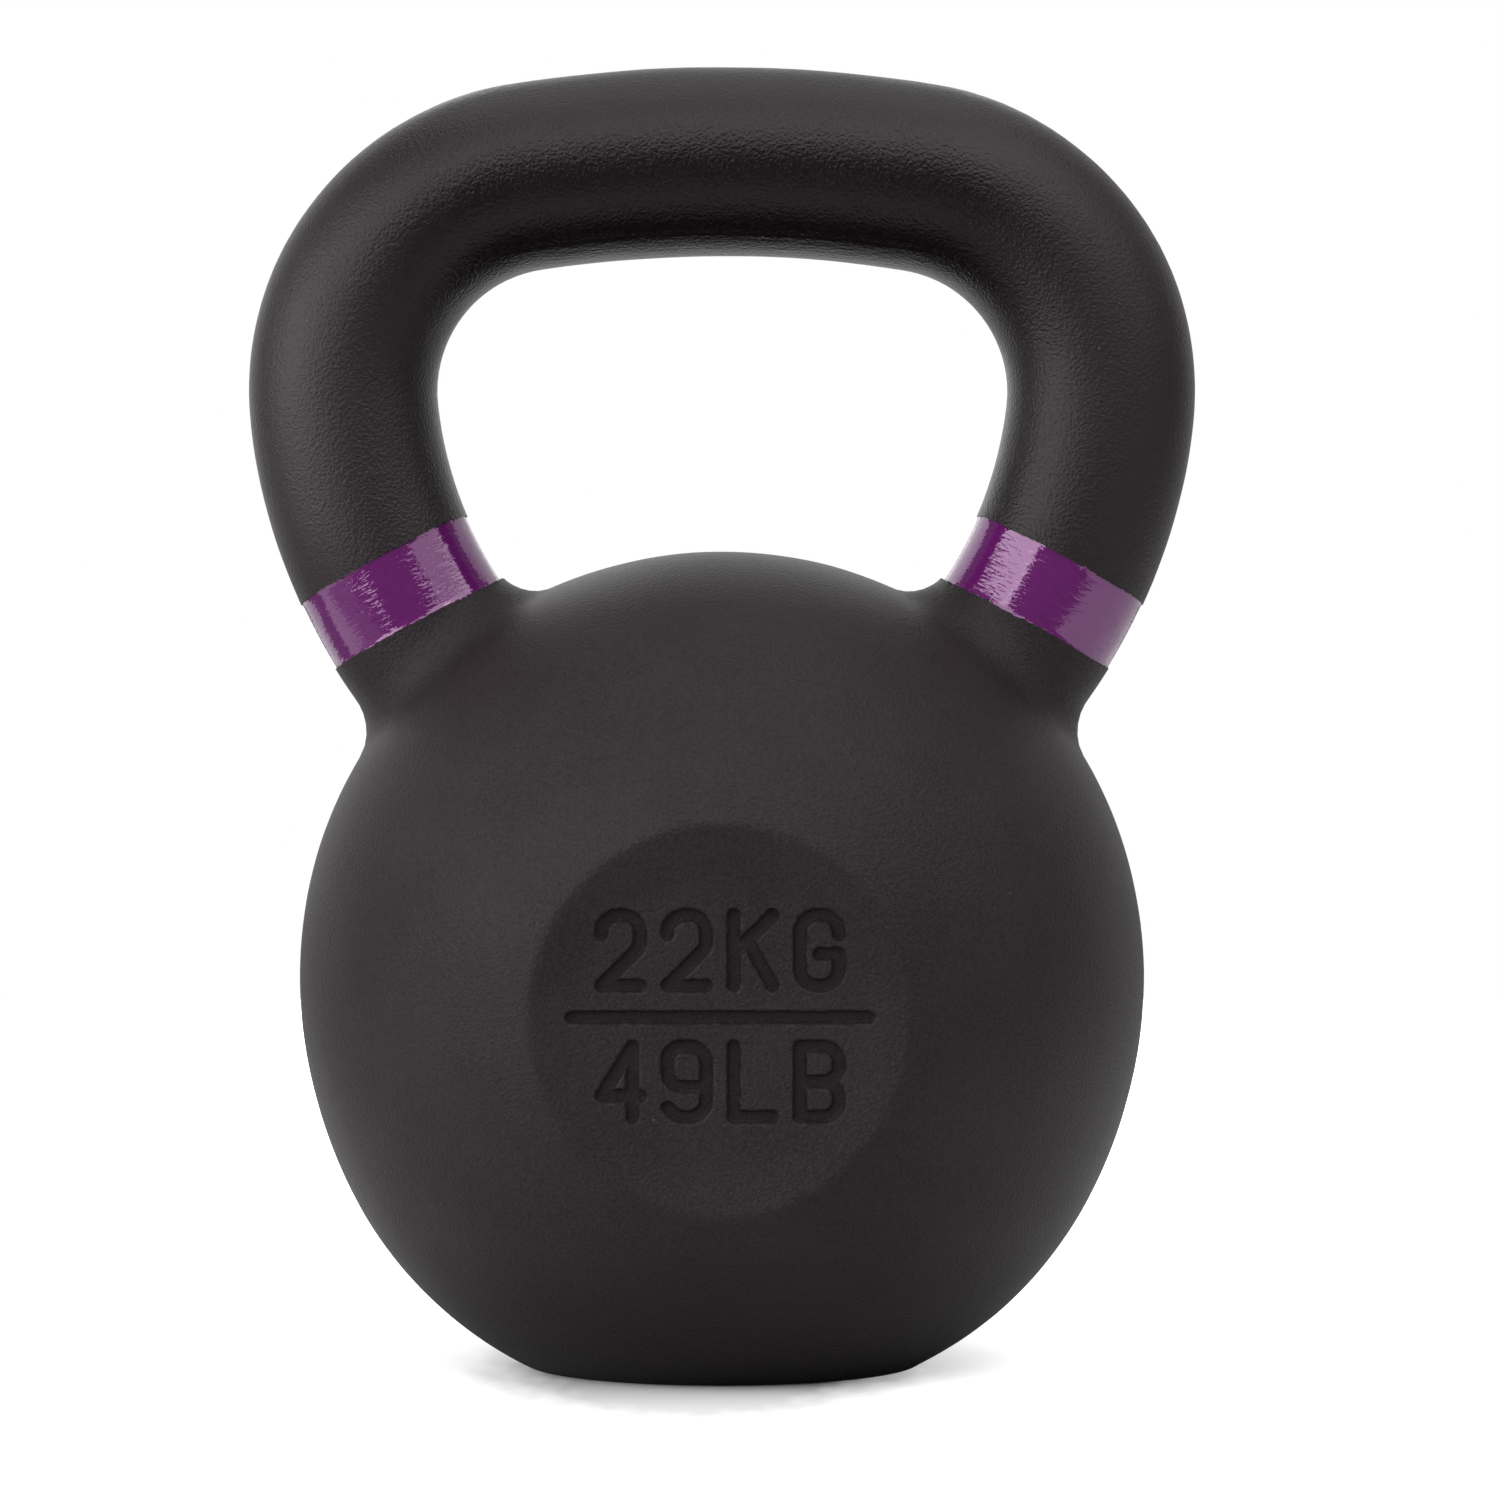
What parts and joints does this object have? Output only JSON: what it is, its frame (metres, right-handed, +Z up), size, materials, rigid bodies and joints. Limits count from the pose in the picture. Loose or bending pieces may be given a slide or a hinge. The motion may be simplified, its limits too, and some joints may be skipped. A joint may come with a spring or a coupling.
{
  "type": "kettlebell",
  "caption": "Cast-iron kettlebell: round ball on a flat base, looped round handle, a shallow dished face front and back, and a colour band round each horn.",
  "frame": {"origin": "centre of the flat base, on the surface it rests on", "axes": "+Z up, X along the handle's grip, the marked face looks towards -Y"},
  "size_m": [0.1932, 0.16, 0.2647],
  "materials": {
    "coated_iron": "matte black powder coat with a fine grain over cast iron",
    "band_enamel": "glossy purple enamel with slight orange peel"
  },
  "bodies": {
    "root": {"casting": "coated_iron", "band_left": "band_enamel", "band_right": "band_enamel"}
  },
  "joints": []
}
